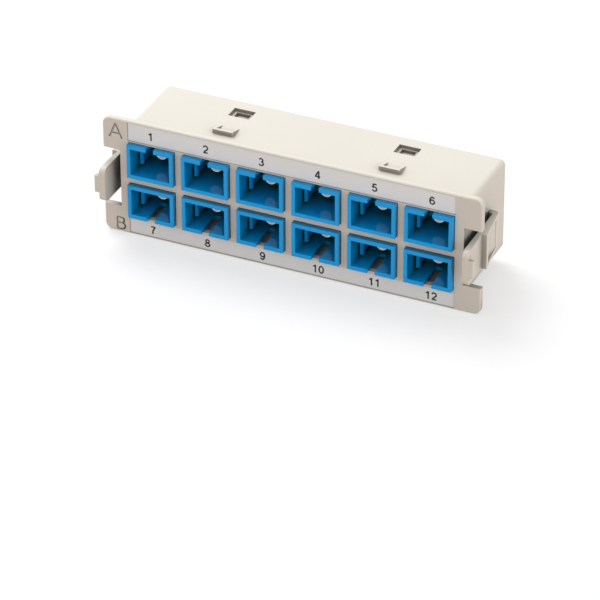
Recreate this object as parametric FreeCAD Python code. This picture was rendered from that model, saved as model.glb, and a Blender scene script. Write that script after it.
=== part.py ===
import FreeCAD, Part
import math
import os

# Snap-in fibre cassette: a moulded housing with a front plate, twelve SC through-adapters in two
# rows of six, two printed port strips and a flexing snap latch on each side.
# Millimetres. X runs along the rows, +Y goes into the panel, +Z is up.
# Origin: centre of the panel opening, in the plane where the front plate seats on the panel.

Vec = FreeCAD.Vector

# ---------------------------------------------------------------- driving dimensions
COLUMNS = 6
COLUMN_PITCH = 15.0
ROW_PITCH = 11.6

END_MARGIN = 1.3             # housing beyond the outer columns' pitch, each side
ROW_MARGIN = 2.175           # housing beyond the adapters, above and below
WALL = 0.95
BODY_CORNER = 1.5            # rounding of the housing's long edges

PLATE_SIDE_LIP = 4.7         # how far the front plate stands out beside the housing
PLATE_THICK = 1.5
PLATE_TOP_LIP = 3.8          # how far the plate stands above the housing
PLATE_BOTTOM_LIP = 3.3
PLATE_CORNER = 2.0
PLATE_EDGE = 0.25            # chamfer along the front outline

INNER_WALL = 1.4             # rear wall that the adapters pass through
INNER_WALL_INSET = 1.7       # from the housing's rear rim
WALL_NOTCH_WIDTH = 3.6       # relief in that wall between the rows
WALL_NOTCH_DEPTH = 0.7

STRIP_INSET = 2.3            # printed port strips, from the housing's sides
STRIP_THICK = 0.2
STRIP_POCKET = 0.35
STRIP_CLEAR = 0.1
TOP_STRIP_HEIGHT = 4.9
TOP_STRIP_EDGE = 0.45        # land between the strip pocket and the plate's edge
BOTTOM_STRIP_HEIGHT = 4.1
BOTTOM_STRIP_EDGE = 0.4

EAR_NOTCH_CLEAR = 3.25       # opening in each ear, beyond the latch above and below
EAR_RIM = 1.5                # rim round the hollow back of each ear
EAR_END_RIM = 1.1
EAR_HOLLOW = 0.8

RIB_WIDTH = 1.8              # blocks that centre the housing in the panel opening
RIB_HEIGHT = 1.8
RIB_DEPTH = 2.1
RIB_CHAMFER = 0.7
END_RIB_WIDTH = 1.4
END_RIB_INSET = 2.0          # from the housing's side
RIB_ROOT = 0.5

HOOK_COLUMN = 1.5            # hooks and catch pockets sit this many pitches from the middle
HOOK_WIDTH = 5.45
HOOK_LENGTH = 4.4
HOOK_HEIGHT = 1.1
HOOK_FRONT = 7.95
HOOK_WALL = 0.75
CATCH_WIDTH = 5.85
CATCH_LENGTH = 4.1
CATCH_FRONT = 17.5
CATCH_DEPTH = 0.85
CATCH_FLOOR = 1.2           # skin under the catch pocket
CATCH_FLOOR_MARGIN = 0.8
RECESS_WIDTH = 3.9           # blind recess in the catch pocket's floor
RECESS_LENGTH = 2.8
RECESS_DEPTH = 0.75
RECESS_FRONT = 0.7           # from the catch pocket's front edge

MOUTH_WIDTH = 10.7
MOUTH_HEIGHT = 7.2
ADAPTER_SIDE_WALL = 1.0
ADAPTER_TOP_WALL = 1.125
ADAPTER_LENGTH = 28.0        # its rear is flush with the housing's rim
ADAPTER_FRONT = 1.45         # how far the adapters stand out of the plate
ADAPTER_FIT = 0.1            # clearance all round in the housing
ADAPTER_EDGE = 0.1
KEY_WIDTH = 2.1
KEY_LENGTH = 8.25            # with its round end
KEY_END_FLATS = 8
SNAP_HEIGHT = 3.4            # snap ramps on the adapter's sides
SNAP_PROUD = 0.55
SNAP_LENGTH = 2.0
SNAP_GAP = 0.05
BULKHEAD = 1.5               # web in the middle of the adapter
BULKHEAD_SIDE_STEP = 1.15    # how far the web stands inside the mouth
BULKHEAD_TOP_STEP = 0.8

HOLDER_FIT = 0.05            # clearance of the sleeve holders, in the mouth and end to end
HOLDER_FLANGE = 1.3
BARREL_SIDES = 12
BARREL_WALL = 0.75
BARREL_DEPTH = 9.3           # barrel's mouth, from the adapter's end
ARM_WALL_GAP = 0.2           # between a latch arm and the wall beside it
ARM_END_GAP = 0.7            # above and below the arm
ARM_TIP_THICK = 1.05
ARM_THICK = 0.65
ARM_DEPTH = 4.7              # arm tips, from the adapter's end
ARM_BARB = 1.3

FERRULE_BORE = 1.25          # radius
SLEEVE_WALL = 0.35
SLEEVE_FIT = 0.05
SLEEVE_SLOT = 0.5
SLEEVE_DEPTH = 6.85          # sleeve's end, from the adapter's end

LATCH_HEIGHT = 9.7
LATCH_MIDDLE = -0.35         # latches and ear notches are centred just below the middle
LATCH_THICK = 1.25
LATCH_STAND = 1.75           # inner face, from the housing's side
LATCH_ROOT_REAR = 14.45
LATCH_ROOT_THICK = 1.5
LATCH_ROOT_GAP = 0.06
LATCH_ROOT_PAD = 0.35
LATCH_BEND_IN = 0.45         # radii of the bend behind the root
LATCH_BEND_OUT = 1.2
LATCH_FRONT = 6.9            # how far the latch reaches in front of the seat
LATCH_CORNER = 1.7
PANEL_GAP = 2.7              # between the seat and the catch face
CATCH_PROUD = 1.4
POCKET_RIM_TOP = 1.1
POCKET_RIM_BOTTOM = 0.9
POCKET_FRONT_RIB = 1.7
POCKET_SKIN = 0.05
GRIP_HEIGHT = 4.8
GRIP_RAISE = 0.2             # its middle, above the latch's
GRIP_PROUD = 1.0
GRIP_THICK = 1.2

OVERCUT = 1.0                # how far a cutting block runs past the face that it opens
SAME_PLACE = 1e-6

# ---------------------------------------------------------------- places worked out from them
ADAPTER_WIDTH = MOUTH_WIDTH + 2 * ADAPTER_SIDE_WALL
ADAPTER_HEIGHT = MOUTH_HEIGHT + 2 * ADAPTER_TOP_WALL
SIDE = COLUMNS * COLUMN_PITCH / 2 + END_MARGIN
TOP = (ROW_PITCH + ADAPTER_HEIGHT) / 2 + ROW_MARGIN
PLATE_TOP = TOP + PLATE_TOP_LIP
PLATE_BOTTOM = -TOP - PLATE_BOTTOM_LIP
PLATE_SIDE = SIDE + PLATE_SIDE_LIP
STRIP_SIDE = SIDE - STRIP_INSET
PORT_FRONT = -PLATE_THICK - ADAPTER_FRONT
PORT_REAR = PORT_FRONT + ADAPTER_LENGTH
PORT_MIDDLE = (PORT_FRONT + PORT_REAR) / 2
WALL_REAR = PORT_REAR - INNER_WALL_INSET
WALL_FRONT = WALL_REAR - INNER_WALL
LATCH_IN = SIDE + LATCH_STAND
LATCH_OUT = LATCH_IN + LATCH_THICK
LATCH_TOP = LATCH_MIDDLE + LATCH_HEIGHT / 2
LATCH_BOTTOM = LATCH_MIDDLE - LATCH_HEIGHT / 2
NOTCH_TOP = LATCH_TOP + EAR_NOTCH_CLEAR
NOTCH_BOTTOM = LATCH_BOTTOM - EAR_NOTCH_CLEAR
SLEEVE_RADIUS = FERRULE_BORE + SLEEVE_WALL
BARREL_BORE = SLEEVE_RADIUS + SLEEVE_FIT
COLUMN_X = [COLUMN_PITCH * (i - (COLUMNS - 1) / 2) for i in range(COLUMNS)]


# ---------------------------------------------------------------- shapes
def block(x0, x1, y0, y1, z0, z1):
    """A plain block between two corners."""
    return Part.makeBox(x1 - x0, y1 - y0, z1 - z0, Vec(x0, y0, z0))


def prism(points, direction):
    """A flat outline of straight runs, pushed along a direction."""
    outline = Part.makePolygon([Vec(*p) for p in points + points[:1]])
    return Part.Face(outline).extrude(Vec(*direction))


def rounded_bar(x0, x1, y0, y1, z0, z1, radius):
    """A bar along Y whose four long edges are rounded."""
    bar = block(x0, x1, y0, y1, z0, z1)
    long_edges = [e for e in bar.Edges if abs(e.Vertexes[0].Y - e.Vertexes[1].Y) > SAME_PLACE]
    return bar.makeFillet(radius, long_edges)


def edges_on_plane(shape, y):
    """The edges that lie in one plane across Y."""
    return [e for e in shape.Edges if all(abs(v.Y - y) < SAME_PLACE for v in e.Vertexes)]


def faceted_bar(radius, y0, y1):
    """A many-sided bar along Y about the port's axis; the radius is to the middle of its flats."""
    corner = radius / math.cos(math.pi / BARREL_SIDES)
    points = []
    for i in range(BARREL_SIDES):
        a = 2 * math.pi * (i + 0.5) / BARREL_SIDES
        points.append((corner * math.cos(a), y0, corner * math.sin(a)))
    return prism(points, (0, y1 - y0, 0))


def turned(shape):
    """The same shape for the lower row: half a turn about the port's axis."""
    copy = shape.copy()
    copy.rotate(Vec(0, 0, 0), Vec(0, 1, 0), 180)
    return copy


def mirrored_x(shape):
    return shape.mirror(Vec(0, 0, 0), Vec(1, 0, 0))


def mirrored_z(shape):
    return shape.mirror(Vec(0, 0, 0), Vec(0, 0, 1))


# ---------------------------------------------------------------- housing
def front_plate():
    """The flange: rounded corners, a softened front outline and hollow-backed, notched ears."""
    plate = rounded_bar(-PLATE_SIDE, PLATE_SIDE, -PLATE_THICK, 0, PLATE_BOTTOM, PLATE_TOP, PLATE_CORNER)
    plate = plate.makeChamfer(PLATE_EDGE, edges_on_plane(plate, -PLATE_THICK))
    notch = block(SIDE, PLATE_SIDE + OVERCUT, -PLATE_THICK - OVERCUT, OVERCUT, NOTCH_BOTTOM, NOTCH_TOP)
    hollow_out = PLATE_SIDE - EAR_RIM
    upper = block(SIDE, hollow_out, -EAR_HOLLOW, OVERCUT, NOTCH_TOP + EAR_END_RIM, PLATE_TOP - EAR_END_RIM)
    lower = block(SIDE, hollow_out, -EAR_HOLLOW, OVERCUT, PLATE_BOTTOM + EAR_END_RIM,
                  NOTCH_BOTTOM - EAR_END_RIM)
    cuts = [notch, upper, lower]
    return plate.cut(cuts + [mirrored_x(c) for c in cuts])


def open_box():
    """The housing's thin four-sided box, open at the rear."""
    outer = rounded_bar(-SIDE, SIDE, -PLATE_THICK / 2, PORT_REAR, -TOP, TOP, BODY_CORNER)
    inner = rounded_bar(-SIDE + WALL, SIDE - WALL, 0, PORT_REAR + OVERCUT, -TOP + WALL, TOP - WALL,
                        BODY_CORNER - WALL)
    return outer.cut(inner)


def inner_wall():
    """The rear wall, set in from the rim, with two reliefs between the rows."""
    wall = block(-SIDE + WALL / 2, SIDE - WALL / 2, WALL_FRONT, WALL_REAR, -TOP + WALL / 2, TOP - WALL / 2)
    gap = (ROW_PITCH - ADAPTER_HEIGHT) / 2
    relief = block(-WALL_NOTCH_WIDTH / 2, WALL_NOTCH_WIDTH / 2,
                   WALL_REAR - WALL_NOTCH_DEPTH, WALL_REAR + OVERCUT, -gap, gap)
    reliefs = []
    for side in (-1, 1):
        reliefs.append(relief.translated(Vec(side * HOOK_COLUMN * COLUMN_PITCH, 0, 0)))
    return wall.cut(reliefs)


def centring_rib(x, width):
    """A small block in the corner between the plate and the housing's top."""
    top = TOP + RIB_HEIGHT
    side_view = [(x - width / 2, -PLATE_THICK / 2, TOP - RIB_ROOT),
                 (x - width / 2, RIB_DEPTH, TOP - RIB_ROOT),
                 (x - width / 2, RIB_DEPTH, top - RIB_CHAMFER),
                 (x - width / 2, RIB_DEPTH - RIB_CHAMFER, top),
                 (x - width / 2, -PLATE_THICK / 2, top)]
    return prism(side_view, (width, 0, 0))


def centring_ribs():
    """Ribs between the columns, and narrower ones at the housing's corners."""
    ribs = [centring_rib(x + COLUMN_PITCH / 2, RIB_WIDTH) for x in COLUMN_X[:-1]]
    end = SIDE - END_RIB_INSET
    ribs += [centring_rib(-end, END_RIB_WIDTH), centring_rib(end, END_RIB_WIDTH)]
    return ribs


def hook(x):
    """A U-shaped ramp, upright in front and open behind."""
    rear = HOOK_FRONT + HOOK_LENGTH
    left = x - HOOK_WIDTH / 2
    ramp = prism([(left, HOOK_FRONT, TOP - WALL / 2), (left, HOOK_FRONT, TOP + HOOK_HEIGHT),
                  (left, HOOK_FRONT + HOOK_WALL, TOP + HOOK_HEIGHT), (left, rear, TOP),
                  (left, rear, TOP - WALL / 2)], (HOOK_WIDTH, 0, 0))
    middle = block(left + HOOK_WALL, left + HOOK_WIDTH - HOOK_WALL,
                   HOOK_FRONT + HOOK_WALL, rear + OVERCUT, TOP, TOP + HOOK_HEIGHT + OVERCUT)
    return ramp.cut(middle)


def catch_pad(x):
    """The thickened skin under a catch pocket."""
    half = CATCH_WIDTH / 2 + CATCH_FLOOR_MARGIN
    return block(x - half, x + half, CATCH_FRONT - CATCH_FLOOR_MARGIN,
                 CATCH_FRONT + CATCH_LENGTH + CATCH_FLOOR_MARGIN,
                 TOP - CATCH_DEPTH - CATCH_FLOOR, TOP - WALL / 2)


def catch_pocket(x):
    """The pocket and the blind recess in its floor, as one cut."""
    pocket = block(x - CATCH_WIDTH / 2, x + CATCH_WIDTH / 2, CATCH_FRONT, CATCH_FRONT + CATCH_LENGTH,
                   TOP - CATCH_DEPTH, TOP + OVERCUT)
    front = CATCH_FRONT + RECESS_FRONT
    recess = block(x - RECESS_WIDTH / 2, x + RECESS_WIDTH / 2, front, front + RECESS_LENGTH,
                   TOP - CATCH_DEPTH - RECESS_DEPTH, TOP)
    return pocket.fuse(recess)


def strip_span(upper):
    """Lowest and highest Z of a strip's pocket."""
    if upper:
        high = PLATE_TOP - TOP_STRIP_EDGE
        return high - TOP_STRIP_HEIGHT - 2 * STRIP_CLEAR, high
    low = PLATE_BOTTOM + BOTTOM_STRIP_EDGE
    return low, low + BOTTOM_STRIP_HEIGHT + 2 * STRIP_CLEAR


def latch_pad():
    """The root that the right latch springs from, on the housing's side."""
    front = LATCH_ROOT_REAR - LATCH_ROOT_THICK
    return block(SIDE - WALL / 2, SIDE + LATCH_ROOT_PAD, front, LATCH_ROOT_REAR, LATCH_BOTTOM, LATCH_TOP)


def make_housing():
    """One moulding: plate, box, inner wall, ribs, hooks, catch pockets and latch roots."""
    hook_x = HOOK_COLUMN * COLUMN_PITCH
    upper_adds = centring_ribs() + [hook(x) for x in (-hook_x, hook_x)]
    upper_adds += [catch_pad(x) for x in (-hook_x, hook_x)]
    adds = upper_adds + [mirrored_z(a) for a in upper_adds]
    adds += [open_box(), inner_wall(), latch_pad(), mirrored_x(latch_pad())]
    housing = front_plate().multiFuse(adds)

    pockets = [catch_pocket(x) for x in (-hook_x, hook_x)]
    cuts = pockets + [mirrored_z(p) for p in pockets]
    half_w = ADAPTER_WIDTH / 2 + ADAPTER_FIT
    half_h = ADAPTER_HEIGHT / 2 + ADAPTER_FIT
    for x in COLUMN_X:
        for z in (-ROW_PITCH / 2, ROW_PITCH / 2):
            cuts.append(block(x - half_w, x + half_w, -PLATE_THICK - OVERCUT, WALL_REAR + OVERCUT,
                              z - half_h, z + half_h))
    half = STRIP_SIDE + STRIP_CLEAR
    for upper in (True, False):
        low, high = strip_span(upper)
        cuts.append(block(-half, half, -PLATE_THICK - OVERCUT, -PLATE_THICK + STRIP_POCKET, low, high))
    return housing.cut(cuts).removeSplitter()


def make_strip(upper):
    """A printed port strip, lying on the floor of its pocket."""
    low, high = strip_span(upper)
    floor = -PLATE_THICK + STRIP_POCKET
    return block(-STRIP_SIDE, STRIP_SIDE, floor - STRIP_THICK, floor, low + STRIP_CLEAR, high - STRIP_CLEAR)


# ---------------------------------------------------------------- adapter, about its own axis
def snap_ramps():
    """Ramps on both sides: two behind the front plate and two before the inner wall."""
    x = ADAPTER_WIDTH / 2
    tip = x + SNAP_PROUD
    root = x - WALL / 2
    plate_face = SNAP_GAP
    wall_face = WALL_FRONT - SNAP_GAP
    front = prism([(root, plate_face, -SNAP_HEIGHT / 2), (tip, plate_face, -SNAP_HEIGHT / 2),
                   (x, plate_face + SNAP_LENGTH, -SNAP_HEIGHT / 2),
                   (root, plate_face + SNAP_LENGTH, -SNAP_HEIGHT / 2)], (0, 0, SNAP_HEIGHT))
    rear = prism([(root, wall_face, -SNAP_HEIGHT / 2), (tip, wall_face, -SNAP_HEIGHT / 2),
                  (x, wall_face - SNAP_LENGTH, -SNAP_HEIGHT / 2),
                  (root, wall_face - SNAP_LENGTH, -SNAP_HEIGHT / 2)], (0, 0, SNAP_HEIGHT))
    return [front, rear, mirrored_x(front), mirrored_x(rear)]


def other_end(shape):
    """The same shape at the adapter's other end."""
    return shape.mirror(Vec(0, PORT_MIDDLE, 0), Vec(0, 1, 0))


def key_slot():
    """The slot for the plug's key at the front: straight sides and a full-round end in short flats."""
    half = KEY_WIDTH / 2
    start = PORT_FRONT - OVERCUT
    bend = PORT_FRONT + KEY_LENGTH - half
    points = [(-half, start, 0), (half, start, 0)]
    for i in range(KEY_END_FLATS + 1):
        a = math.pi * i / KEY_END_FLATS
        points.append((half * math.cos(a), bend + half * math.sin(a), 0))
    return prism(points, (0, 0, ADAPTER_HEIGHT / 2 + OVERCUT))


def make_adapter_shell():
    """The outer shell: a square tube with a key slot at each end and a web in the middle."""
    half_w = ADAPTER_WIDTH / 2
    half_h = ADAPTER_HEIGHT / 2
    outer = block(-half_w, half_w, PORT_FRONT, PORT_REAR, -half_h, half_h)
    ends = edges_on_plane(outer, PORT_FRONT) + edges_on_plane(outer, PORT_REAR)
    outer = outer.makeChamfer(ADAPTER_EDGE, ends)
    shell = outer.multiFuse(snap_ramps())

    web = BULKHEAD / 2
    mouth_w = MOUTH_WIDTH / 2
    mouth_h = MOUTH_HEIGHT / 2
    front_mouth = block(-mouth_w, mouth_w, PORT_FRONT - OVERCUT, PORT_MIDDLE - web, -mouth_h, mouth_h)
    rear_mouth = block(-mouth_w, mouth_w, PORT_MIDDLE + web, PORT_REAR + OVERCUT, -mouth_h, mouth_h)
    inner_w = mouth_w - BULKHEAD_SIDE_STEP
    inner_h = mouth_h - BULKHEAD_TOP_STEP
    through = block(-inner_w, inner_w, PORT_FRONT, PORT_REAR, -inner_h, inner_h)
    return shell.cut([front_mouth, rear_mouth, through, key_slot(), other_end(key_slot())])


def latch_arm(flange_face):
    """The right-hand arm of the front sleeve holder, with a barb that grips the plug."""
    tip = PORT_FRONT + ARM_DEPTH
    outer = MOUTH_WIDTH / 2 - ARM_WALL_GAP
    inner = outer - ARM_THICK
    barb = outer - ARM_TIP_THICK
    high = MOUTH_HEIGHT / 2 - ARM_END_GAP
    return prism([(outer, flange_face, -high), (outer, tip, -high), (barb, tip, -high),
                  (barb, tip + ARM_BARB, -high), (inner, tip + ARM_BARB, -high),
                  (inner, flange_face, -high)], (0, 0, 2 * high))


def make_front_holder():
    """The front sleeve holder: flange on the web, barrel for the sleeve and two latch arms."""
    seat = PORT_MIDDLE - BULKHEAD / 2
    face = seat - HOLDER_FLANGE
    half_w = MOUTH_WIDTH / 2 - HOLDER_FIT
    half_h = MOUTH_HEIGHT / 2 - HOLDER_FIT
    flange = block(-half_w, half_w, face, seat, -half_h, half_h)
    mouth = PORT_FRONT + BARREL_DEPTH
    barrel_end = PORT_MIDDLE - HOLDER_FIT
    barrel = faceted_bar(BARREL_BORE + BARREL_WALL, mouth, barrel_end)
    arm = latch_arm(face)
    holder = flange.multiFuse([barrel, arm, mirrored_x(arm)])
    bore = faceted_bar(BARREL_BORE, mouth - OVERCUT, barrel_end + OVERCUT)
    return holder.cut(bore)


def make_sleeve():
    """The ceramic sleeve that lines two ferrules up, slit along one side."""
    y0 = PORT_FRONT + SLEEVE_DEPTH
    y1 = PORT_REAR - SLEEVE_DEPTH
    outer = Part.makeCylinder(SLEEVE_RADIUS, y1 - y0, Vec(0, y0, 0), Vec(0, 1, 0))
    bore = Part.makeCylinder(FERRULE_BORE, y1 - y0, Vec(0, y0, 0), Vec(0, 1, 0))
    slot = block(0, SLEEVE_RADIUS + OVERCUT, y0 - OVERCUT, y1 + OVERCUT, -SLEEVE_SLOT / 2, SLEEVE_SLOT / 2)
    return outer.cut([bore, slot])


# ---------------------------------------------------------------- latch
def arc_points(centre, radius, start, middle, end):
    """Three points on an arc in the XY plane, at angles in degrees."""
    points = []
    for angle in (start, middle, end):
        a = math.radians(angle)
        points.append(Vec(centre[0] + radius * math.cos(a), centre[1] + radius * math.sin(a), 0))
    return points


def latch_outline():
    """The latch seen from above: root, bend, wedge with its catch face, and finger tab."""
    root = SIDE + LATCH_ROOT_PAD + LATCH_ROOT_GAP
    rear = LATCH_ROOT_REAR
    inner_rear = rear - LATCH_ROOT_THICK
    outer_arc = arc_points((LATCH_OUT - LATCH_BEND_OUT, rear - LATCH_BEND_OUT), LATCH_BEND_OUT, 90, 45, 0)
    inner_arc = arc_points((LATCH_IN - LATCH_BEND_IN, inner_rear - LATCH_BEND_IN), LATCH_BEND_IN, 0, 45, 90)
    peak = LATCH_OUT + CATCH_PROUD
    lines = [
        [Vec(root, inner_rear, 0), Vec(root, rear, 0)],
        [Vec(root, rear, 0), outer_arc[0]],
        outer_arc,
        [outer_arc[2], Vec(peak, PANEL_GAP, 0)],
        [Vec(peak, PANEL_GAP, 0), Vec(LATCH_OUT, PANEL_GAP, 0)],
        [Vec(LATCH_OUT, PANEL_GAP, 0), Vec(LATCH_OUT, -LATCH_FRONT, 0)],
        [Vec(LATCH_OUT, -LATCH_FRONT, 0), Vec(LATCH_IN, -LATCH_FRONT, 0)],
        [Vec(LATCH_IN, -LATCH_FRONT, 0), inner_arc[0]],
        inner_arc,
        [inner_arc[2], Vec(root, inner_rear, 0)],
    ]
    edges = []
    for run in lines:
        if len(run) == 3:
            edges.append(Part.Arc(*run).toShape())
        else:
            edges.append(Part.LineSegment(*run).toShape())
    return Part.Wire(edges)


def make_latch():
    """The right-hand snap latch."""
    strip = Part.Face(latch_outline()).extrude(Vec(0, 0, LATCH_HEIGHT))
    strip.translate(Vec(0, 0, LATCH_BOTTOM))
    grip_middle = LATCH_MIDDLE + GRIP_RAISE
    grip = block(LATCH_OUT - LATCH_THICK / 2, LATCH_OUT + GRIP_PROUD, -LATCH_FRONT, -LATCH_FRONT + GRIP_THICK,
                 grip_middle - GRIP_HEIGHT / 2, grip_middle + GRIP_HEIGHT / 2)
    side_view = block(SIDE, LATCH_OUT + CATCH_PROUD, -LATCH_FRONT, LATCH_ROOT_REAR, LATCH_BOTTOM, LATCH_TOP)
    front_corners = [e for e in edges_on_plane(side_view, -LATCH_FRONT)
                     if abs(e.Vertexes[0].X - e.Vertexes[1].X) > SAME_PLACE]
    side_view = side_view.makeFillet(LATCH_CORNER, front_corners)
    pocket = block(LATCH_OUT + POCKET_SKIN, LATCH_OUT + CATCH_PROUD + OVERCUT,
                   PANEL_GAP + POCKET_FRONT_RIB, LATCH_ROOT_REAR - LATCH_ROOT_THICK - LATCH_BEND_OUT,
                   LATCH_BOTTOM + POCKET_RIM_BOTTOM, LATCH_TOP - POCKET_RIM_TOP)
    return strip.common(side_view).fuse(grip).cut(pocket).removeSplitter()


# ---------------------------------------------------------------- export
def export(shape, node):
    if not shape.isValid():
        raise ValueError(node + " is not a valid solid")
    if len(shape.Solids) != 1:
        raise ValueError(node + " has %d solids" % len(shape.Solids))
    shape.Solids[0].exportStep("parts/" + node + ".step")
    print(node, round(shape.Volume, 2))


def main():
    os.makedirs("parts", exist_ok=True)
    export(make_housing(), "housing")
    export(make_strip(True), "port_strip_top")
    export(make_strip(False), "port_strip_bottom")
    latch = make_latch()
    export(latch, "latch_right")
    export(mirrored_x(latch), "latch_left")

    shell = make_adapter_shell()
    front_holder = make_front_holder()
    pieces = {
        "adapter_shell": shell,
        "sleeve_holder_front": front_holder,
        "sleeve_holder_rear": other_end(front_holder),
        "split_sleeve": make_sleeve(),
    }
    port = 0
    for row_z in (ROW_PITCH / 2, -ROW_PITCH / 2):
        for x in COLUMN_X:
            port += 1
            for name, shape in pieces.items():
                placed = shape.copy() if row_z > 0 else turned(shape)
                placed.translate(Vec(x, 0, row_z))
                export(placed, "%s_%02d" % (name, port))


main()
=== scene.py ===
import math

import bmesh
import bpy
from mathutils import Matrix, Vector


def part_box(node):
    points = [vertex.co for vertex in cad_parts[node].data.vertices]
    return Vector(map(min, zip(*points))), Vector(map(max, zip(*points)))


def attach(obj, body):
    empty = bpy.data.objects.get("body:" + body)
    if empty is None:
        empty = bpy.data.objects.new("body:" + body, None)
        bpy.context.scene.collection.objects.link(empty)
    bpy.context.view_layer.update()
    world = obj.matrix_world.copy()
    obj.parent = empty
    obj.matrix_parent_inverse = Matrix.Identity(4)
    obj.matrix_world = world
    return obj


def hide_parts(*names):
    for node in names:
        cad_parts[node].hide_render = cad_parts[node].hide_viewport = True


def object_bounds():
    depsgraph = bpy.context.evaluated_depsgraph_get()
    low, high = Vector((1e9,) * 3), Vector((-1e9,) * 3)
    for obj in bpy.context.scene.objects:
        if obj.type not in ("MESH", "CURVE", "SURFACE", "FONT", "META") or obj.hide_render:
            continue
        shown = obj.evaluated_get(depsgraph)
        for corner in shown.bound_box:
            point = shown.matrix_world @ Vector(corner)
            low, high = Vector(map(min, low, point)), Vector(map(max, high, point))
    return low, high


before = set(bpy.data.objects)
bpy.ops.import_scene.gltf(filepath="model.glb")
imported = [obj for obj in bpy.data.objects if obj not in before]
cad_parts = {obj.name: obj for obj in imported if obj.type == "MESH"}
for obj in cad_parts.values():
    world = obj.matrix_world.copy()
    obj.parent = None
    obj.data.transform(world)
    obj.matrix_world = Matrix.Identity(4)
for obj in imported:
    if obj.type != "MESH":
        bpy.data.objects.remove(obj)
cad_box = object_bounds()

MM = 0.001


# ------------------------------------------------------------------ housing
# One injection moulding in ivory ABS: front plate with ears, box, ribs, hooks and catch pockets.
# The mould leaves a fine satin grain, and every outside edge carries a small radius.
PLATE_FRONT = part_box("housing")[0][1]
PLATE_SKIN = 0.15 * MM               # depth of the plate's front face with its rolled edge
HOUSING_SOFT_EDGE = 0.1 * MM
SIDE_FACES = 46.2 * MM               # all that lies further out belongs to the sides
ROOT_FACES = (46.5 * MM, 46.8 * MM)  # where housing and latches meet, from the middle
ROOT_FRONT = 12.0 * MM
COINCIDENT = 0.0005 * MM             # points closer than this are one point
ONE_FLAT = math.radians(0.5)         # faces that meet at less than this are one face
SHARP = math.radians(35)             # edges that turn more than this get a radius


def add_object(name, mesh):
    """Puts a mesh in the scene as a new object."""
    piece = bpy.data.objects.new(name, mesh)
    bpy.context.scene.collection.objects.link(piece)
    return piece


def smooth(piece):
    """Smooth faces whose normals follow the large flat ones."""
    for face in piece.data.polygons:
        face.use_smooth = True
    even = piece.modifiers.new("even_normals", "WEIGHTED_NORMAL")
    even.keep_sharp = True
    return piece


def weld(bm):
    """Joins points that fall on one another, which drops the slivers between them."""
    bmesh.ops.remove_doubles(bm, verts=bm.verts, dist=COINCIDENT)
    bmesh.ops.dissolve_degenerate(bm, dist=COINCIDENT / 5, edges=bm.edges)


def ease_edges(bm, radius, steps, crisp=None):
    """Rolls over every sharp edge, as a mould does, but leaves those whose points all meet the
    crisp test."""
    bmesh.ops.remove_doubles(bm, verts=bm.verts, dist=COINCIDENT)
    bmesh.ops.dissolve_limit(bm, angle_limit=ONE_FLAT, verts=bm.verts, edges=bm.edges)
    edges = [e for e in bm.edges if len(e.link_faces) == 2 and e.calc_face_angle(0) > SHARP]
    if crisp:
        edges = [e for e in edges if not all(crisp(v.co) for v in e.verts)]
    bmesh.ops.bevel(bm, geom=edges, offset=radius, offset_type="OFFSET", segments=steps, profile=0.5,
                    affect="EDGES", clamp_overlap=True, loop_slide=True)
    weld(bm)


def at_latch_root(co):
    """True on the two faces where a latch grows out of the housing's side."""
    return ROOT_FACES[0] < abs(co.x) < ROOT_FACES[1] and co.y > ROOT_FRONT


def moulding(node, name, radius, steps, reshape=None):
    """The moulding that stands for a CAD node, with its edges eased."""
    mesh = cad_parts[node].data.copy()
    mesh.name = name
    mesh.materials.clear()
    bm = bmesh.new()
    bm.from_mesh(mesh)
    if reshape:
        for v in bm.verts:
            reshape(v.co)
    ease_edges(bm, radius, steps, at_latch_root)
    bm.to_mesh(mesh)
    bm.free()
    mesh.materials.append(ivory)
    return add_object(name, mesh)


def cut(piece, cutter, operation="DIFFERENCE"):
    """Takes one mesh out of another, or joins them, and drops the cutter."""
    step = piece.modifiers.new("cut", "BOOLEAN")
    step.operation = operation
    step.solver = "EXACT"
    step.material_mode = "TRANSFER"
    step.use_self = True
    step.object = cutter
    graph = bpy.context.evaluated_depsgraph_get()
    made = bpy.data.meshes.new_from_object(piece.evaluated_get(graph))
    piece.modifiers.clear()
    old = piece.data
    name = old.name
    piece.data = made
    bpy.data.meshes.remove(old)
    made.name = name
    bpy.data.objects.remove(cutter)


def arc(cx, cz, rx, rz, start, end, steps=16):
    """Points on part of an ellipse in the XZ plane; angles in degrees from +X towards +Z."""
    points = []
    for i in range(steps + 1):
        a = math.radians(start + (end - start) * i / steps)
        points.append((cx + rx * math.cos(a), cz + rz * math.sin(a)))
    return points


# The row letters A and B are thin engraved strokes, drawn on a grid one letter high.
LETTER_A = [[(0.0, 0.0), (0.42, 1.0)], [(0.42, 1.0), (0.84, 0.0)], [(0.14, 0.33), (0.7, 0.33)]]
LETTER_B = [
    [(0.0, 0.0), (0.0, 1.0)],
    [(0.0, 1.0)] + arc(0.33, 0.77, 0.24, 0.23, 90, -90) + [(0.0, 0.54)],
    [(0.0, 0.54)] + arc(0.38, 0.27, 0.265, 0.27, 90, -90) + [(0.0, 0.0)],
]
ROW_LETTERS = (  # strokes, left edge, foot and height
    (LETTER_A, -49.1 * MM, 11.1 * MM, 4.1 * MM),
    (LETTER_B, -47.6 * MM, -15.2 * MM, 3.35 * MM),
)
GROOVE = 0.23 * MM


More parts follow.
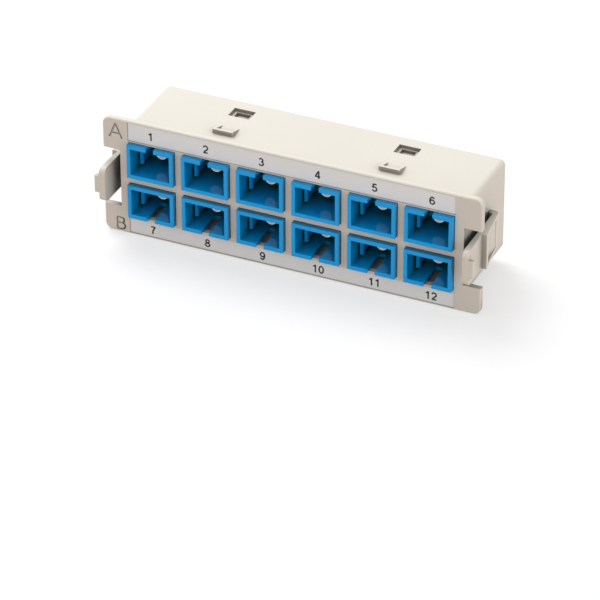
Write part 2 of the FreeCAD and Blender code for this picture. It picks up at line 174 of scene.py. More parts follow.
def groove_cutter(strokes, left, bottom, height):
    """Round strokes that lie half in the plate's front face."""
    curve = bpy.data.curves.new("groove", "CURVE")
    curve.dimensions = "3D"
    curve.bevel_depth = GROOVE
    curve.bevel_resolution = 3
    curve.use_fill_caps = True
    for stroke in strokes:
        line = curve.splines.new("POLY")
        line.points.add(len(stroke) - 1)
        for point, (x, z) in zip(line.points, stroke):
            point.co = (left + x * height, PLATE_FRONT, bottom + z * height, 1)
    round_bar = bpy.data.objects.new("groove", curve)
    graph = bpy.context.evaluated_depsgraph_get()
    mesh = bpy.data.meshes.new_from_object(round_bar.evaluated_get(graph))
    bpy.data.objects.remove(round_bar)
    mesh.materials.clear()
    mesh.materials.append(groove_grey)
    return add_object("groove", mesh)


def colour_mix(nodes, links, share, first, second):
    """Goes from one colour to another by a share; each colour is numbers or a node's output."""
    mix = nodes.new("ShaderNodeMix")
    mix.data_type = "RGBA"
    links.new(share, mix.inputs[0])
    for socket, colour in ((mix.inputs[6], first), (mix.inputs[7], second)):
        if isinstance(colour, bpy.types.NodeSocket):
            links.new(colour, socket)
        else:
            socket.default_value = (*colour, 1)
    return mix.outputs[2]


def painted_corner_shade(nodes, links, colour, shade_tone, reach, closed, clear, own_shape_only):
    """Paints shade: turns a colour to a darker shade tone where other surfaces close in within a reach, as
    ambient occlusion measures it.
    """
    corner = nodes.new("ShaderNodeAmbientOcclusion")
    corner.samples = 8
    corner.only_local = own_shape_only
    corner.inputs["Distance"].default_value = reach
    open_share = nodes.new("ShaderNodeMapRange")
    open_share.inputs["From Min"].default_value = closed
    open_share.inputs["From Max"].default_value = clear
    links.new(corner.outputs["AO"], open_share.inputs["Value"])
    return colour_mix(nodes, links, open_share.outputs[0], shade_tone, colour)


CLOUD = 22 * MM                      # patches of a slightly darker tone in every plastic here
CLOUD_TONE = 0.94
GLOSS_PATCH = 3 * MM
GRAIN_STRENGTH = 0.6


def plastic(name, colour, shade_tone, corner_shade, roughness, grain, grain_depth):
    """A moulded plastic: two close tones, fine grain, uneven gloss, and painted shade that darkens its inside
    corners.
    """
    material = bpy.data.materials.new(name)
    material.use_nodes = True
    nodes, links = material.node_tree.nodes, material.node_tree.links
    shader = nodes["Principled BSDF"]
    place = nodes.new("ShaderNodeTexCoord").outputs["Object"]

    def noise(size, detail):
        node = nodes.new("ShaderNodeTexNoise")
        node.inputs["Scale"].default_value = 1 / size
        node.inputs["Detail"].default_value = detail
        links.new(place, node.inputs["Vector"])
        return node.outputs["Fac"]

    tone = colour_mix(nodes, links, noise(CLOUD, 3), colour, [c * CLOUD_TONE for c in colour])
    shown = painted_corner_shade(nodes, links, tone, shade_tone, **corner_shade)
    links.new(shown, shader.inputs["Base Color"])

    gloss = nodes.new("ShaderNodeMapRange")
    gloss.inputs["To Min"].default_value = roughness[0]
    gloss.inputs["To Max"].default_value = roughness[1]
    links.new(noise(GLOSS_PATCH, 4), gloss.inputs["Value"])
    links.new(gloss.outputs[0], shader.inputs["Roughness"])

    bump = nodes.new("ShaderNodeBump")
    bump.inputs["Strength"].default_value = GRAIN_STRENGTH
    bump.inputs["Distance"].default_value = grain_depth
    links.new(noise(grain, 2), bump.inputs["Height"])
    links.new(bump.outputs["Normal"], shader.inputs["Normal"])
    return material


# Painted shade: each plastic darkens toward a shade tone in its inside corners, recesses and between parts,
# wherever ambient occlusion finds other surfaces close.
CORNER_REACH = 7 * MM
PLATE_CORNER_SHADE = {"reach": CORNER_REACH, "closed": 0.3, "clear": 1, "own_shape_only": True}
SIDE_CORNER_SHADE = {"reach": CORNER_REACH, "closed": 0.05, "clear": 1, "own_shape_only": False}
GROOVE_CORNER_SHADE = {"reach": 0.5 * MM, "closed": 0.1, "clear": 0.9, "own_shape_only": True}
SATIN = (0.42, 0.55)
GROOVE_SATIN = (0.5, 0.6)
GRAIN, GRAIN_DEPTH = 0.12 * MM, 0.004 * MM
IVORY = (0.74, 0.70, 0.62)
# The next tone is the painted shade on the ivory's front plate, top and open faces.
IVORY_SHADE_TONE = (0.205, 0.175, 0.16)
# The next tone is a much darker painted shade, for the housing's sides behind the plate, the latches and the
# letter grooves.
DARK_SHADE_TONE = (0.045, 0.048, 0.048)
GROOVE_GREY = (0.06, 0.056, 0.053)
ivory = plastic("ivory_abs", IVORY, IVORY_SHADE_TONE, PLATE_CORNER_SHADE, SATIN, GRAIN, GRAIN_DEPTH)
shaded_side_ivory = plastic("ivory_abs_sides_painted_shade", IVORY, DARK_SHADE_TONE, SIDE_CORNER_SHADE, SATIN, GRAIN, GRAIN_DEPTH)
# The grooves' faces are near black, and painted shade darkens their corners further.
groove_grey = plastic("groove_grey", GROOVE_GREY, DARK_SHADE_TONE, GROOVE_CORNER_SHADE, GROOVE_SATIN, GRAIN, GRAIN_DEPTH)

housing = moulding("housing", "housing_moulding", HOUSING_SOFT_EDGE, 2)
for letter in ROW_LETTERS:
    cut(housing, groove_cutter(*letter))
bm = bmesh.new()
bm.from_mesh(housing.data)
weld(bm)
bm.to_mesh(housing.data)
bm.free()
# The side faces behind the plate take a copy of the ivory with much darker painted shade in the gaps around
# the latches.
housing.data.materials.append(shaded_side_ivory)
for face in housing.data.polygons:
    if abs(face.center.x) > SIDE_FACES and face.center.y > PLATE_FRONT + PLATE_SKIN:
        face.material_index = len(housing.data.materials) - 1
smooth(housing)
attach(housing, "cassette")
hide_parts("housing")


# ------------------------------------------------------------------ port strips
# Two strips of light grey printed film, dropped into shallow pockets above and below the ports.
# The port numbers are screen printed in black and stand a hair above the film.
STRIP_SPREAD = 0.06 * MM
STRIP_CORNER = 0.15 * MM
STRIP_RIM = 0.03 * MM
FILM_GREY = (0.85, 0.88, 0.885)
FILM_CORNER_SHADE = {"reach": 0.5 * MM, "closed": 0.4, "clear": 0.97, "own_shape_only": False}
STREAK_WIDTH = 0.35 * MM
STREAK_ALONG = 0.08  # how fast the tone changes along a streak, as a share of across it
SPECKLE, SPECKLE_DEPTH = 0.05 * MM, 0.001 * MM
SPECKLE_STRENGTH = 0.4
INK_BLACK = (0.012, 0.012, 0.012)
INK_THICK = 0.012 * MM
NUMBER_HEIGHT = 2.2 * MM
NUMBER_PITCH = 15.12 * MM
NUMBER_Z = {"top": 13.35 * MM, "bottom": -13.65 * MM}
NUMBER_SHIFT = {"top": 0, "bottom": 0.13 * MM}
STROKE = 0.185  # this and the next two are shares of a number's height
DIGIT_STEP = 0.78
DIGIT_MIDDLE = 0.335
COLUMNS = 6
MIDDLE_COLUMN = (COLUMNS - 1) / 2

SIX = [arc(0.35, 0.72, 0.21, 0.21, 12, 90) + arc(0.35, 0.47, 0.26, 0.46, 90, 180)
       + [(0.09, 0.33)], arc(0.345, 0.325, 0.255, 0.255, 0, 360, 32)]
DIGITS = {
    "0": [arc(0.335, 0.5, 0.255, 0.43, 0, 360, 40)],
    "1": [[(0.4, 0.0), (0.4, 1.0)], [(0.4, 0.93), (0.29, 0.82), (0.12, 0.74)]],
    "2": [arc(0.335, 0.69, 0.245, 0.24, 172, 0) + [(0.55, 0.56), (0.42, 0.4), (0.24, 0.25), (0.13, 0.07)],
          [(0.05, 0.07), (0.6, 0.07)]],
    "3": [arc(0.32, 0.735, 0.21, 0.195, 165, -90), arc(0.32, 0.3, 0.265, 0.235, 90, -165, 24)],
    "4": [[(0.47, 0.0), (0.47, 1.0)], [(0.44, 0.95), (0.07, 0.29)], [(0.02, 0.27), (0.64, 0.27)]],
    "5": [[(0.15, 0.93), (0.58, 0.93)], [(0.19, 0.98), (0.12, 0.47)],
          arc(0.325, 0.325, 0.265, 0.26, 145, -160, 24)],
    "6": SIX,
    "7": [[(0.06, 0.93), (0.62, 0.93)], [(0.59, 0.93), (0.42, 0.67), (0.31, 0.38), (0.25, 0.0)]],
    "8": [arc(0.335, 0.74, 0.2, 0.19, 0, 360, 32), arc(0.335, 0.29, 0.255, 0.22, 0, 360, 32)],
    "9": [[(2 * DIGIT_MIDDLE - x, 1 - z) for x, z in line] for line in SIX],
}


def ribbon(bm, line, width, y_back, y_front):
    """A flat printed stroke along a line of (x, z) points, with mitred turns and square ends."""
    closed = math.dist(line[0], line[-1]) < COINCIDENT
    points = [Vector(p) for p in (line[:-1] if closed else line)]
    count = len(points)
    rings = []
    for i, point in enumerate(points):
        before = points[i - 1] if closed or i else None
        after = points[(i + 1) % count] if closed or i < count - 1 else None
        sides = []
        for a, b in ((before, point), (point, after)):
            if a is not None and b is not None:
                run = (b - a).normalized()
                sides.append(Vector((-run.y, run.x)))
        across = sum(sides, Vector((0, 0))).normalized()
        across *= width / 2 / max(across.dot(sides[0]), 0.5)
        ring = []
        for side, y in ((1, y_front), (-1, y_front), (-1, y_back), (1, y_back)):
            p = point + across * side
            ring.append(bm.verts.new((p.x, y, p.y)))
        rings.append(ring)
    for i in range(count if closed else count - 1):
        a, b = rings[i], rings[(i + 1) % count]
        for j in range(4):
            bm.faces.new((a[j], a[(j + 1) % 4], b[(j + 1) % 4], b[j]))
    if not closed:
        bm.faces.new(rings[0][::-1])
        bm.faces.new(rings[-1])


def mesh_of(bm, name):
    """The finished mesh of what was built point by point."""
    mesh = bpy.data.meshes.new(name)
    bm.to_mesh(mesh)
    bm.free()
    return mesh


def film(name, colour, roughness, contrast):
    """Matt printed film: fine even speckle, faint streaks along its length, and painted shade that darkens it
    near walls and other parts.
    """
    material = bpy.data.materials.new(name)
    material.use_nodes = True
    nodes, links = material.node_tree.nodes, material.node_tree.links
    shader = nodes["Principled BSDF"]
    place = nodes.new("ShaderNodeTexCoord").outputs["Object"]
    stretch = nodes.new("ShaderNodeMapping")
    stretch.inputs["Scale"].default_value = (STREAK_ALONG, 1, 1)
    links.new(place, stretch.inputs["Vector"])
    streak = nodes.new("ShaderNodeTexNoise")
    streak.inputs["Scale"].default_value = 1 / STREAK_WIDTH
    streak.inputs["Detail"].default_value = 4
    links.new(stretch.outputs["Vector"], streak.inputs["Vector"])
    darker = [c * (1 - contrast) for c in colour]
    lighter = [min(1, c * (1 + contrast)) for c in colour]
    tone = colour_mix(nodes, links, streak.outputs["Fac"], darker, lighter)
    # Painted shade: the film darkens to half its colour near the pocket's walls and the ports.
    shown = painted_corner_shade(nodes, links, tone, [c / 2 for c in colour], **FILM_CORNER_SHADE)
    links.new(shown, shader.inputs["Base Color"])
    speckle = nodes.new("ShaderNodeTexNoise")
    speckle.inputs["Scale"].default_value = 1 / SPECKLE
    links.new(place, speckle.inputs["Vector"])
    bump = nodes.new("ShaderNodeBump")
    bump.inputs["Strength"].default_value = SPECKLE_STRENGTH
    bump.inputs["Distance"].default_value = SPECKLE_DEPTH
    links.new(speckle.outputs["Fac"], bump.inputs["Height"])
    links.new(bump.outputs["Normal"], shader.inputs["Normal"])
    shader.inputs["Roughness"].default_value = roughness
    return material


grey_film = film("grey_film", FILM_GREY, 0.5, 0.025)
black_ink = film("black_ink", INK_BLACK, 0.4, 0.25)

for end, first_port in (("top", 1), ("bottom", 1 + COLUMNS)):
    low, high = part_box("port_strip_" + end)
    spread = (STRIP_SPREAD, 0, STRIP_SPREAD)
    bm = bmesh.new()
    bmesh.ops.create_cube(bm, size=1)
    for v in bm.verts:
        v.co = Vector([low[i] - spread[i] if v.co[i] < 0 else high[i] + spread[i] for i in range(3)])
    upright = [e for e in bm.edges if abs(e.verts[0].co.y - e.verts[1].co.y) > 0.5 * (high[1] - low[1])]
    bmesh.ops.bevel(bm, geom=upright, offset=STRIP_CORNER, segments=4, profile=0.5, affect="EDGES")
    rim = [e for e in bm.edges if all(v.co.y < low[1] + COINCIDENT for v in e.verts)]
    bmesh.ops.bevel(bm, geom=rim, offset=STRIP_RIM, segments=2, profile=0.5, affect="EDGES")
    mesh = mesh_of(bm, "strip_film_" + end)
    mesh.materials.append(grey_film)
    strip = smooth(add_object("port_strip_film_" + end, mesh))
    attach(strip, "cassette")
    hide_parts("port_strip_" + end)

    bm = bmesh.new()
    for column in range(COLUMNS):
        x = (column - MIDDLE_COLUMN) * NUMBER_PITCH + NUMBER_SHIFT[end]
        text = str(first_port + column)
        for place, digit in enumerate(text):
            shift = (place - (len(text) - 1) / 2) * DIGIT_STEP - DIGIT_MIDDLE
            for line in DIGITS[digit]:
                drawn = [(x + (px + shift) * NUMBER_HEIGHT, NUMBER_Z[end] + (pz - 0.5) * NUMBER_HEIGHT)
                         for px, pz in line]
                ribbon(bm, drawn, STROKE * NUMBER_HEIGHT, low[1], low[1] - INK_THICK)
    mesh = mesh_of(bm, "printed_numbers_" + end)
    mesh.materials.append(black_ink)
    numbers = add_object("printed_numbers_" + end, mesh)
    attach(numbers, "cassette")


# ------------------------------------------------------------------ adapter shells
# Blue moulded square tubes, a plug mouth at each end with a round-ended slot for the plug's key.
# They are pushed in from behind and snap between the front plate and the inner wall.
PORTS = range(1, 2 * COLUMNS + 1)
COLUMN_PITCH = 15 * MM
ROW_Z = 5.8 * MM
PORT_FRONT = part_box("adapter_shell_01")[0][1]
PORT_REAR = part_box("adapter_shell_01")[1][1]
PORT_MIDDLE = (PORT_FRONT + PORT_REAR) / 2
SHELL_HALF = (6.35 * MM, 4.725 * MM)  # half width and half height
MOUTH_HALF = (5.35 * MM, 3.6 * MM)
WEB_OPENING_HALF = (4.2 * MM, 2.8 * MM)
WEB_HALF = 0.75 * MM
KEY_HALF = 1.05 * MM
KEY_LENGTH = 8.25 * MM
SNAP_ROOT = 0.4 * MM
SNAP_REACH = 0.55 * MM
SNAP_HALF = 1.7 * MM
SNAP_FROM_ENDS = (3.0 * MM, 3.15 * MM)
SNAP_LENGTH = 2.0 * MM
SHELL_SOFT_EDGE = 0.07 * MM
PAST = 1.0 * MM  # how far a cutting block runs past what it opens


def solid(outline, depth_from, depth_to, axis):
    """A closed block: an outline of points pushed along an axis. The outline skips that axis."""
    bm = bmesh.new()
    ends = []
    for depth in (depth_from, depth_to):
        ring = []
        for point in outline:
            co = list(point)
            co.insert(axis, depth)
            ring.append(bm.verts.new(co))
        ends.append(ring)
    bm.faces.new(ends[0])
    bm.faces.new(ends[1][::-1])
    for i in range(len(outline)):
        j = (i + 1) % len(outline)
        bm.faces.new((ends[0][j], ends[0][i], ends[1][i], ends[1][j]))
    bmesh.ops.recalc_face_normals(bm, faces=bm.faces)
    return add_object("block", mesh_of(bm, "block"))


def tube_space(half, y0, y1):
    """A rectangular block about the port's axis."""
    w, h = half
    return solid([(-w, -h), (w, -h), (w, h), (-w, h)], y0, y1, 1)


def finished(piece, radius, steps):
    """Eases the edges of a cut block and gives back its mesh."""
    bm = bmesh.new()
    bm.from_mesh(piece.data)
    ease_edges(bm, radius, steps)
    mesh = piece.data
    bm.to_mesh(mesh)
    bm.free()
    mesh.materials.clear()
    bpy.data.objects.remove(piece)
    return mesh


shell = tube_space(SHELL_HALF, PORT_FRONT, PORT_REAR)
for side in (-1, 1):
    wall, tip = side * (SHELL_HALF[0] - SNAP_ROOT), side * (SHELL_HALF[0] + SNAP_REACH)
    face = side * SHELL_HALF[0]
    for start, end in ((PORT_FRONT + SNAP_FROM_ENDS[0], 1), (PORT_REAR - SNAP_FROM_ENDS[1], -1)):
        ramp_end = start + end * SNAP_LENGTH
        ramp = solid([(wall, start), (tip, start), (face, ramp_end), (wall, ramp_end)],
                     -SNAP_HALF, SNAP_HALF, 2)
        cut(shell, ramp, "UNION")
cut(shell, tube_space(MOUTH_HALF, PORT_FRONT - PAST, PORT_MIDDLE - WEB_HALF))
cut(shell, tube_space(MOUTH_HALF, PORT_MIDDLE + WEB_HALF, PORT_REAR + PAST))
cut(shell, tube_space(WEB_OPENING_HALF, PORT_FRONT, PORT_REAR))
for start, inward in ((PORT_FRONT, 1), (PORT_REAR, -1)):
    bend = start + inward * (KEY_LENGTH - KEY_HALF)
    outline = [(-KEY_HALF, start - inward * PAST), (KEY_HALF, start - inward * PAST)]
    outline += arc(0, bend, KEY_HALF, inward * KEY_HALF, 0, 180, 24)
    cut(shell, solid(outline, 0, SHELL_HALF[1] + PAST, 2))
shell_mesh = finished(shell, SHELL_SOFT_EDGE, 2)
shell_mesh.name = "adapter_shell"

BLUE = (0.005, 0.42, 0.98)
BLUE_DEEP_SHADE_TONE = (0.001, 0.12, 0.1)
BLUE_SHADE = (0.002, 0.12, 0.2)
BLUE_GLINT = (0.35, 0.65, 1, 1)
BLUE_GRAIN, BLUE_GRAIN_DEPTH = 0.8 * MM, 0.0001 * MM
SHELL_GLOSS = (0.02, 0.03)
SHELL_CORNER_SHADE = {"reach": CORNER_REACH, "closed": 0.14, "clear": 1, "own_shape_only": False}
INSIDE = 0.1 * MM  # how deep into the walls the faces of the mouth reach


def glossy_blue(name, colour, shade_tone, corner_shade, roughness):
    """Smooth blue plastic with a blue sheen, hardly any grain, and painted shade in its corners."""
    material = plastic(name, colour, shade_tone, corner_shade, roughness, BLUE_GRAIN, BLUE_GRAIN_DEPTH)
    material.node_tree.nodes["Principled BSDF"].inputs["Specular Tint"].default_value = BLUE_GLINT
    return material


# Painted shade: the faces inside the mouths take a copy of the blue that darkens to a teal shade tone, the
# outside faces one that darkens to a bluer shade tone.
for name, shade_tone in (("blue_pbt_mouth_shade", BLUE_DEEP_SHADE_TONE), ("blue_pbt", BLUE_SHADE)):
    shell_mesh.materials.append(glossy_blue(name, BLUE, shade_tone, SHELL_CORNER_SHADE, SHELL_GLOSS))
for face in shell_mesh.polygons:
    x, z = abs(face.center.x), abs(face.center.z)
    face.material_index = int(x > MOUTH_HALF[0] + INSIDE or z > MOUTH_HALF[1] + INSIDE)


def at_port(port, turned_round=False):
    """The place of a port's axis; the lower row is turned half round, and so are the rear pieces."""
    upper = port <= COLUMNS
    x = ((port - 1) % COLUMNS - MIDDLE_COLUMN) * COLUMN_PITCH
    place = Matrix.Translation((x, 0, ROW_Z if upper else -ROW_Z))
    if not upper:
        place = place @ Matrix.Rotation(math.pi, 4, "Y")
    if turned_round:
        middle = Matrix.Translation((0, PORT_MIDDLE, 0))
        place = place @ middle @ Matrix.Rotation(math.pi, 4, "Z") @ middle.inverted()
    return place


def fit(mesh, node, port, turned_round=False):
    """One piece of an adapter at its port, in place of its CAD node."""
    piece = add_object(node + "_piece", mesh)
    piece.matrix_world = at_port(port, turned_round)
    smooth(piece)
    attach(piece, "cassette")
    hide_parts(node)


for port in PORTS:
    fit(shell_mesh, "adapter_shell_%02d" % port, port)


# ------------------------------------------------------------------ sleeve holders
# A blue moulding pushed in from each end against the web: a flange, a round barrel for the sleeve
# and two springy arms whose barbs grip the plug.
HOLDER_HALF = (5.3 * MM, 3.55 * MM)
FLANGE_THICK = 1.3 * MM
BARREL_OUTER = 2.4 * MM
BARREL_BORE = 1.65 * MM
BARREL_MOUTH = PORT_FRONT + 9.3 * MM
BARREL_END_GAP = 0.05 * MM
ARM_TIP = PORT_FRONT + 4.7 * MM
ARM_OUTER = 5.15 * MM
ARM_INNER = 4.5 * MM
BARB_INNER = 4.1 * MM
BARB_LENGTH = 1.3 * MM
ARM_HALF_HEIGHT = 2.9 * MM
TIP_SLOPE = 0.4 * MM
TIP_SLOPE_OUTER = 0.25 * MM
TIP_SLOPE_INNER = 0.35 * MM
BARREL_SIDES = 48
HOLDER_SOFT_EDGE = 0.06 * MM
INNER_BLUE = (0.004, 0.36, 0.78)
HOLDER_GLOSS = (0.03, 0.05)
HOLDER_CORNER_SHADE = {"reach": CORNER_REACH, "closed": 0, "clear": 0.35, "own_shape_only": False}


def round_bar(radius, y0, y1):
    """A round block about the port's axis."""
    return solid(arc(0, 0, radius, radius, 0, 360, BARREL_SIDES)[:-1], y0, y1, 1)


seat = PORT_MIDDLE - WEB_HALF
holder = tube_space(HOLDER_HALF, seat - FLANGE_THICK, seat)
for side in (-1, 1):
    arm = [(ARM_OUTER, seat - FLANGE_THICK / 2), (ARM_OUTER, ARM_TIP + TIP_SLOPE),
           (ARM_OUTER - TIP_SLOPE_OUTER, ARM_TIP), (BARB_INNER + TIP_SLOPE_INNER, ARM_TIP),
           (BARB_INNER, ARM_TIP + TIP_SLOPE), (BARB_INNER, ARM_TIP + BARB_LENGTH),
           (ARM_INNER, ARM_TIP + BARB_LENGTH), (ARM_INNER, seat - FLANGE_THICK / 2)]
    cut(holder, solid([(side * x, y) for x, y in arm], -ARM_HALF_HEIGHT, ARM_HALF_HEIGHT, 2), "UNION")
cut(holder, round_bar(BARREL_OUTER, BARREL_MOUTH, PORT_MIDDLE - BARREL_END_GAP), "UNION")
cut(holder, round_bar(BARREL_BORE, BARREL_MOUTH - PAST, PORT_MIDDLE + PAST))
holder_mesh = finished(holder, HOLDER_SOFT_EDGE, 2)
holder_mesh.name = "sleeve_holder"
# Painted shade: the holders' blue turns to a dark teal wherever surfaces close in around it.
holder_mesh.materials.append(
    glossy_blue("blue_pbt_inner", INNER_BLUE, BLUE_DEEP_SHADE_TONE, HOLDER_CORNER_SHADE, HOLDER_GLOSS))
for port in PORTS:
    fit(holder_mesh, "sleeve_holder_front_%02d" % port, port)
    fit(holder_mesh, "sleeve_holder_rear_%02d" % port, port, turned_round=True)


# ------------------------------------------------------------------ split sleeves
# Ground white zirconia tubes, slit along one side so that they spring onto the two ferrules.
# Their ends are lightly chamfered and stand out of the barrels.
SLEEVE_OUTER = 1.6 * MM
SLEEVE_BORE = 1.25 * MM
SLEEVE_SLIT = 0.25 * MM
SLEEVE_DEPTH = 6.85 * MM
SLEEVE_CHAMFER = 0.06 * MM
SLEEVE_STEPS = 56
ZIRCONIA = (0.96, 0.955, 0.93)
ZIRCONIA_RINGS = (0.93, 0.92, 0.89)
RING_PITCH = 2.4 * MM
RING_WAVER = 3
RING_GLOSS = (0.16, 0.28)
# The tube's thin ends and its bore are given a faint painted glow, an emission that makes them look lit deep
# in the ports: each finish with its glow, and the finish of each side of the tube's section.
FINISHES_AND_PAINTED_GLOW = (("ground_zirconia", 0), ("zirconia_end_painted_glow", 0.15), ("zirconia_bore_painted_glow", 0.07))
FINISH_AND_GLOW_OF_SIDE = {1: 1, 5: 1, 7: 2}

front, rear = PORT_FRONT + SLEEVE_DEPTH, PORT_REAR - SLEEVE_DEPTH
section = [(SLEEVE_BORE, front + SLEEVE_CHAMFER), (SLEEVE_BORE + SLEEVE_CHAMFER, front),
           (SLEEVE_OUTER - SLEEVE_CHAMFER, front), (SLEEVE_OUTER, front + SLEEVE_CHAMFER),
           (SLEEVE_OUTER, rear - SLEEVE_CHAMFER), (SLEEVE_OUTER - SLEEVE_CHAMFER, rear),
           (SLEEVE_BORE + SLEEVE_CHAMFER, rear), (SLEEVE_BORE, rear - SLEEVE_CHAMFER)]
slit = math.asin(SLEEVE_SLIT / SLEEVE_BORE)
bm = bmesh.new()
rings = []
for i in range(SLEEVE_STEPS + 1):
    a = slit + (2 * math.pi - 2 * slit) * i / SLEEVE_STEPS
    rings.append([bm.verts.new((r * math.cos(a), y, r * math.sin(a))) for r, y in section])
for a, b in zip(rings, rings[1:]):
    for j in range(len(section)):
        k = (j + 1) % len(section)
        face = bm.faces.new((a[j], a[k], b[k], b[j]))
        face.material_index = FINISH_AND_GLOW_OF_SIDE.get(j, 0)
bm.faces.new(rings[0][::-1])
bm.faces.new(rings[-1])
bmesh.ops.recalc_face_normals(bm, faces=bm.faces)
sleeve_mesh = mesh_of(bm, "split_sleeve")


def ceramic(name, painted_glow):
    """White zirconia with the fine rings that grinding leaves, and a painted glow of the given strength."""
    material = bpy.data.materials.new(name)
    material.use_nodes = True
    nodes, links = material.node_tree.nodes, material.node_tree.links
    shader = nodes["Principled BSDF"]
    shader.inputs["Subsurface Weight"].default_value = 0.4
    shader.inputs["Subsurface Radius"].default_value = (1.0, 0.97, 0.9)
    shader.inputs["Subsurface Scale"].default_value = 0.3 * MM
    shader.inputs["Emission Color"].default_value = (0.95, 1, 1, 1)
    shader.inputs["Emission Strength"].default_value = painted_glow
    rings_left = nodes.new("ShaderNodeTexWave")
    rings_left.bands_direction = "Y"
    rings_left.inputs["Scale"].default_value = 1 / RING_PITCH
    rings_left.inputs["Distortion"].default_value = RING_WAVER
    links.new(nodes.new("ShaderNodeTexCoord").outputs["Object"], rings_left.inputs["Vector"])
    tone = colour_mix(nodes, links, rings_left.outputs["Fac"], ZIRCONIA, ZIRCONIA_RINGS)
    links.new(tone, shader.inputs["Base Color"])
    ground = nodes.new("ShaderNodeMapRange")
    ground.inputs["To Min"].default_value = RING_GLOSS[0]
    ground.inputs["To Max"].default_value = RING_GLOSS[1]
    links.new(rings_left.outputs["Fac"], ground.inputs["Value"])
    links.new(ground.outputs[0], shader.inputs["Roughness"])
    return material


for name, painted_glow in FINISHES_AND_PAINTED_GLOW:
    sleeve_mesh.materials.append(ceramic(name, painted_glow))
for port in PORTS:
    fit(sleeve_mesh, "split_sleeve_%02d" % port, port)


# ------------------------------------------------------------------ snap latches
# Springy ivory tongues at each side, moulded with the housing and rooted on its wall.
# The wedge catches behind the panel; the finger tab in front has a small grip rib.
LATCH_SOFT_EDGE = 0.25 * MM
LATCH_OUT = 49.3 * MM
CATCH_FACE = 2.7 * MM
TAB_FRONT = -6.9 * MM
TAB_FLARE = 0.42 * MM
GRIP_OUT = 50.95 * MM
ON_FACE = 0.05 * MM  # how near a point lies to the face it belongs to


def fuller_tab(co):
    """Flares the finger tab to the outside and brings its grip rib out to the plate's end."""
    side = math.copysign(1, co.x)
    if co.y < CATCH_FACE and abs(abs(co.x) - LATCH_OUT) < ON_FACE:
        co.x += side * TAB_FLARE * (CATCH_FACE - co.y) / (CATCH_FACE - TAB_FRONT)
    elif co.y < 0 and abs(co.x) > LATCH_OUT:
        co.x = side * GRIP_OUT


for side in ("left", "right"):
    latch = moulding("latch_" + side, "snap_latch_" + side, LATCH_SOFT_EDGE, 3, fuller_tab)
    # The latches take the copy of the ivory with the darker painted shade.
    latch.data.materials[0] = shaded_side_ivory
    smooth(latch)
    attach(latch, side + "_latch")
    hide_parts("latch_" + side)


# ------------------------------------------------------------------ studio
# A plain pale table under the part, a broad soft light above and behind on the left, two weak ones
# on the right and in front, and an even sky. To the eye and in reflections the table is part paper
# and part plain white, and the sky is white.
FLOOR_HALF = 4.0
FLOOR_Z = cad_box[0][2]
PAPER_WHITE = ((0.94, 0.94, 0.94), (0.96, 0.96, 0.96))
PAPER_GRAIN = 2.5 * MM
PAPER_IN_STRAY_LIGHT = (0.42, 0.3, 0.25)
PLAIN_WHITE_SHARE = 0.55
LAMPS = (  # name, place, size and power
    ("overhead_softbox", (-0.8, 0.53, 1.15), 0.9, 16.6),
    ("side_fill", (0.9, -0.15, 0.2), 0.6, 3.1),
    ("front_fill", (0.1, -1.2, 0.12), 0.6, 2.7),
)
SKY_LIGHT = 0.57
CAMERA_LENS = 237.7
CAMERA_PLACE = (0.34672, -0.76279, 0.50246)
CAMERA_TURN = (57.787, 0.103, 24.244)

mesh = bpy.data.meshes.new("floor")
mesh.from_pydata([(-FLOOR_HALF, -FLOOR_HALF, FLOOR_Z), (FLOOR_HALF, -FLOOR_HALF, FLOOR_Z),
                  (FLOOR_HALF, FLOOR_HALF, FLOOR_Z), (-FLOOR_HALF, FLOOR_HALF, FLOOR_Z)], [], [(0, 1, 2, 3)])


def seen_or_mirrored(nodes, links):
    """1 where a ray comes straight from the eye, from a gloss or through glass, 0 for stray light."""
    path = nodes.new("ShaderNodeLightPath")
    total = path.outputs["Is Camera Ray"]
    for kind in ("Is Glossy Ray", "Is Transmission Ray"):
        add = nodes.new("ShaderNodeMath")
        add.operation = "ADD"
        add.use_clamp = True
        links.new(total, add.inputs[0])
        links.new(path.outputs[kind], add.inputs[1])
        total = add.outputs[0]
    return total


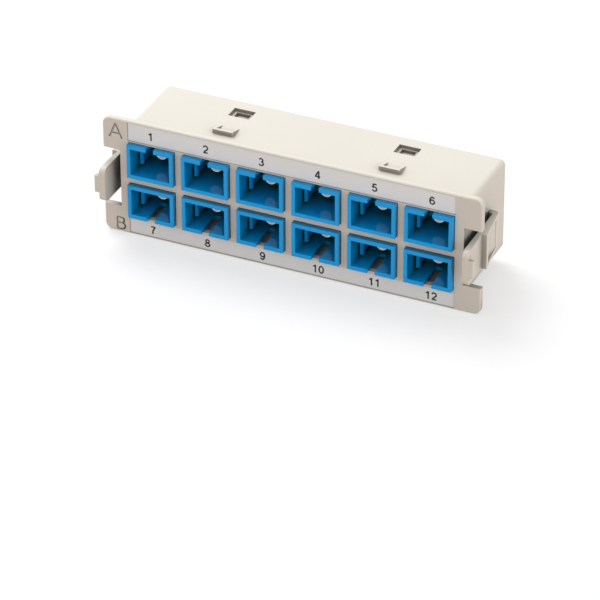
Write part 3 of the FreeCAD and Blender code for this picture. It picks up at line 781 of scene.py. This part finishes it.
paper = bpy.data.materials.new("paper")
paper.use_nodes = True
nodes, links = paper.node_tree.nodes, paper.node_tree.links
shader = nodes["Principled BSDF"]
shader.inputs["Roughness"].default_value = 0.9
grain = nodes.new("ShaderNodeTexNoise")
grain.inputs["Scale"].default_value = 1 / PAPER_GRAIN
links.new(nodes.new("ShaderNodeTexCoord").outputs["Object"], grain.inputs["Vector"])
white_paper = colour_mix(nodes, links, grain.outputs["Fac"], *PAPER_WHITE)
as_seen = seen_or_mirrored(nodes, links)
shown = colour_mix(nodes, links, as_seen, PAPER_IN_STRAY_LIGHT, white_paper)
links.new(shown, shader.inputs["Base Color"])
white = nodes.new("ShaderNodeEmission")
white.inputs["Strength"].default_value = 1
white_share = nodes.new("ShaderNodeMath")
white_share.operation = "MULTIPLY"
white_share.inputs[1].default_value = PLAIN_WHITE_SHARE
links.new(as_seen, white_share.inputs[0])
blend = nodes.new("ShaderNodeMixShader")
links.new(white_share.outputs[0], blend.inputs[0])
links.new(shader.outputs[0], blend.inputs[1])
links.new(white.outputs[0], blend.inputs[2])
links.new(blend.outputs[0], nodes["Material Output"].inputs["Surface"])
mesh.materials.append(paper)
add_object("floor", mesh)

for name, place, size, power in LAMPS:
    lamp = bpy.data.lights.new(name, "AREA")
    lamp.shape = "SQUARE"
    lamp.size = size
    lamp.energy = power
    light = bpy.data.objects.new(name, lamp)
    bpy.context.scene.collection.objects.link(light)
    light.location = place
    light.rotation_mode = "QUATERNION"
    light.rotation_quaternion = (-Vector(place)).to_track_quat("-Z", "Y")

sky = bpy.data.worlds.new("studio_sky")
bpy.context.scene.world = sky
sky.use_nodes = True
nodes, links = sky.node_tree.nodes, sky.node_tree.links
nodes["Background"].inputs["Color"].default_value = (1, 1, 1, 1)
sky_light = nodes.new("ShaderNodeMapRange")
sky_light.inputs["To Min"].default_value = SKY_LIGHT
sky_light.inputs["To Max"].default_value = 1
links.new(seen_or_mirrored(nodes, links), sky_light.inputs["Value"])
links.new(sky_light.outputs["Result"], nodes["Background"].inputs["Strength"])

lens = bpy.data.cameras.new("camera")
lens.sensor_width = 36
lens.lens = CAMERA_LENS
lens.clip_start = 0.05
lens.clip_end = 20
camera = bpy.data.objects.new("camera", lens)
bpy.context.scene.collection.objects.link(camera)
camera.location = CAMERA_PLACE
camera.rotation_euler = [math.radians(a) for a in CAMERA_TURN]
bpy.context.scene.camera = camera
bpy.context.scene.view_settings.view_transform = "Standard"
